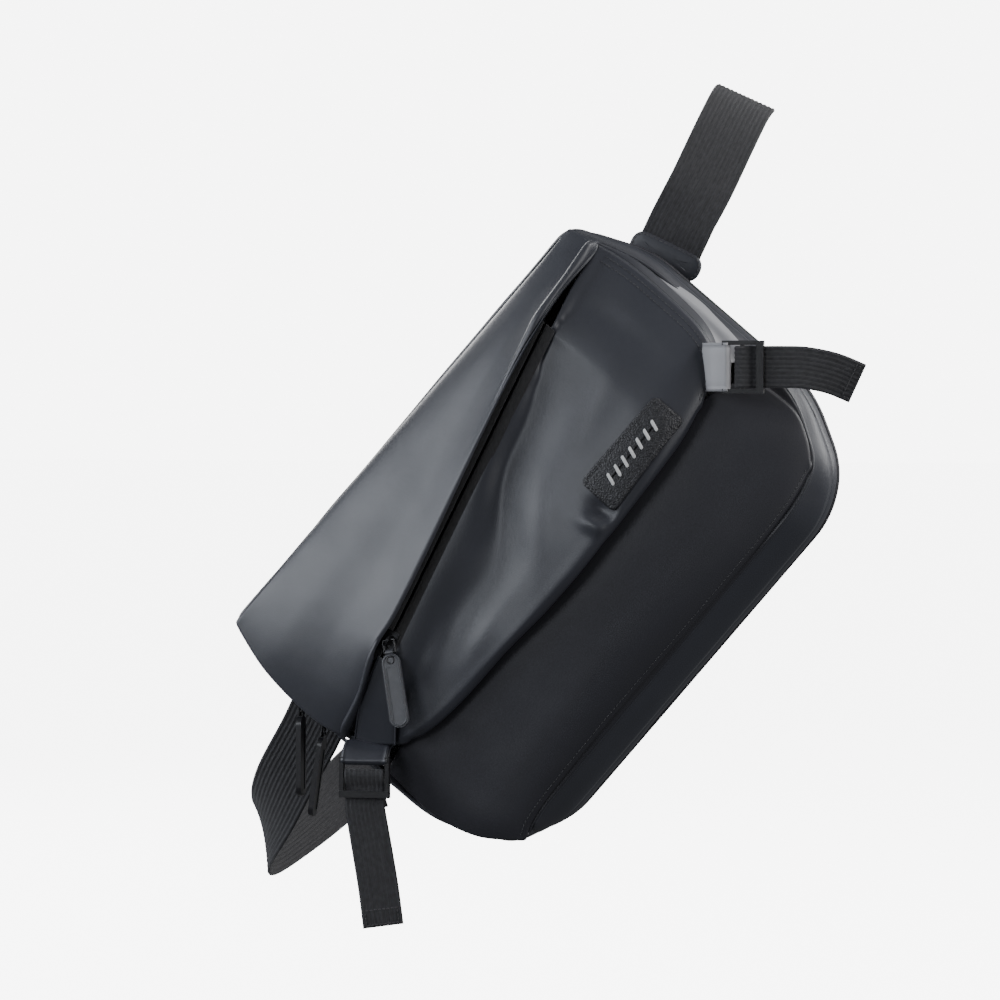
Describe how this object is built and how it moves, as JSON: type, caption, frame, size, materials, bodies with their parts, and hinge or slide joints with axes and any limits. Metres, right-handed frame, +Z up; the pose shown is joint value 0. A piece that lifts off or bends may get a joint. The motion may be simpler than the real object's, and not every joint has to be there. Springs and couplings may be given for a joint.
{
  "type": "sling bag",
  "caption": "Smooth sling bag worn across the back, with a flap-covered slanted zip, a round end zip, side straps and a wide shoulder strap.",
  "frame": {"origin": "underside of the shoulder strap where it rests on the top of the shoulder", "axes": "+Z up, +X to the right seen from behind the wearer, +Y from the bag towards the wearer's chest"},
  "size_m": [0.4142, 0.3462, 0.5246],
  "materials": {
    "coated": "smooth coated fabric, satin",
    "coated_light": "smooth coated fabric, satin",
    "pad": "padded mesh",
    "lining": "plain woven lining",
    "board": "foam board",
    "zip": "woven tape",
    "coil": "moulded coil",
    "slider": "black lacquer",
    "pull": "moulded, satin",
    "webbing": "ribbed webbing",
    "buckle": "satin moulded plastic",
    "patch": "grained"
  },
  "bodies": {
    "back": {"back_panel": "pad", "back_board": "board", "rear_gusset": "coated", "rear_piping": "coated", "main_zip_rear": "zip", "main_coil_rear": "coil", "inner_pocket": "lining", "strap_anchor_upper": "coated", "strap_anchor_lower": "coated", "strap_webbing": "webbing", "strap_lower_webbing": "webbing", "strap_loop": "webbing"},
    "front": {"front_gusset": "coated", "bottom_strip": "coated", "front_lining": "lining", "top_panel": "coated_light", "middle_panel": "coated", "lower_panel": "coated", "pocket_gusset": "coated", "main_zip_front": "zip", "main_coil_front": "coil", "front_zip_upper": "zip", "front_zip_lower": "zip", "label_patch": "patch", "tab_left": "coated", "tab_right": "coated_light", "side_web_left": "webbing", "side_web_right": "webbing"},
    "slider_a": {"main_slider_a": "slider"},
    "link_a": {"main_link_a": "slider"},
    "pull_a": {"main_pull_a": "pull"},
    "slider_b": {"main_slider_b": "slider"},
    "link_b": {"main_link_b": "slider"},
    "pull_b": {"main_pull_b": "pull"},
    "slider_front": {"front_slider": "slider"},
    "link_front": {"front_link": "slider"},
    "pull_front": {"front_pull": "pull"},
    "buckle_left": {"buckle_left": "buckle", "threading_left": "webbing"},
    "tail_left": {"tail_left": "webbing"},
    "buckle_right": {"buckle_right": "buckle", "threading_right": "webbing"},
    "tail_right": {"tail_right": "webbing"},
    "buckle_strap": {"strap_buckle": "buckle", "strap_threading": "webbing"},
    "tail_strap": {"strap_tail": "webbing"}
  },
  "joints": [
    {"name": "front_open", "type": "hinge", "parent": "back", "child": "front", "pos_m": [-0.01492, -0.102, -0.35649], "axis": [0.6508, 0, 0.7593], "range_deg": [0, 35]},
    {"name": "slider_a_slide", "type": "slide", "parent": "back", "child": "slider_a", "axis": [-0.7593, 0, 0.6508], "range_m": [-0.006, 0]},
    {"name": "slider_b_slide", "type": "slide", "parent": "back", "child": "slider_b", "axis": [-0.7593, 0, 0.6508], "range_m": [-0.074, 0]},
    {"name": "link_a_swing", "type": "hinge", "parent": "slider_a", "child": "link_a", "pos_m": [-0.26385, -0.102, -0.37954], "axis": [0, 1, 0], "range_deg": [-2, 60]},
    {"name": "pull_a_swing", "type": "hinge", "parent": "link_a", "child": "pull_a", "pos_m": [-0.26385, -0.102, -0.38704], "axis": [0, 1, 0], "range_deg": [-2, 30]},
    {"name": "link_b_swing", "type": "hinge", "parent": "slider_b", "child": "link_b", "pos_m": [-0.24867, -0.102, -0.39256], "axis": [0, 1, 0], "range_deg": [-20, 2]},
    {"name": "pull_b_swing", "type": "hinge", "parent": "link_b", "child": "pull_b", "pos_m": [-0.24971, -0.102, -0.39999], "axis": [0, 1, 0], "range_deg": [-15, 2]},
    {"name": "front_zip_slide", "type": "slide", "parent": "front", "child": "slider_front", "axis": [0.4454, 0.0197, 0.8951], "range_m": [0, 0.185]},
    {"name": "front_link_swing", "type": "hinge", "parent": "slider_front", "child": "link_front", "pos_m": [-0.19314, -0.157, -0.33623], "axis": [-0.9848, 0, -0.1736], "range_deg": [0, 60]},
    {"name": "front_pull_swing", "type": "hinge", "parent": "link_front", "child": "pull_front", "pos_m": [-0.19185, -0.15765, -0.34359], "axis": [-0.9848, 0, -0.1736], "range_deg": [0, 60]},
    {"name": "buckle_left_tilt", "type": "hinge", "parent": "front", "child": "buckle_left", "pos_m": [-0.21131, -0.144, -0.41075], "axis": [-1, 0, 0], "range_deg": [0, 50]},
    {"name": "tail_left_swing", "type": "hinge", "parent": "buckle_left", "child": "tail_left", "pos_m": [-0.21131, -0.1435, -0.434], "axis": [-1, 0, 0], "range_deg": [-5, 28]},
    {"name": "buckle_right_tilt", "type": "hinge", "parent": "front", "child": "buckle_right", "pos_m": [0.01321, -0.1515, -0.17093], "axis": [0, 0, -1], "range_deg": [0, 50]},
    {"name": "tail_right_swing", "type": "hinge", "parent": "buckle_right", "child": "tail_right", "pos_m": [0.03646, -0.151, -0.17093], "axis": [0, 0, -1], "range_deg": [-5, 35]},
    {"name": "strap_buckle_tilt", "type": "hinge", "parent": "back", "child": "buckle_strap", "pos_m": [-0.17455, 0.1734, -0.2948], "axis": [0.8831, 0, -0.4692], "range_deg": [0, 40]},
    {"name": "strap_tail_swing", "type": "hinge", "parent": "buckle_strap", "child": "tail_strap", "pos_m": [-0.18968, 0.17433, -0.32327], "axis": [0.8831, 0, -0.4692], "range_deg": [0, 22]}
  ],
  "couplings": [
    {"joint": "slider_b_slide", "follows": "front_open", "m_per_rad": -0.09}
  ]
}
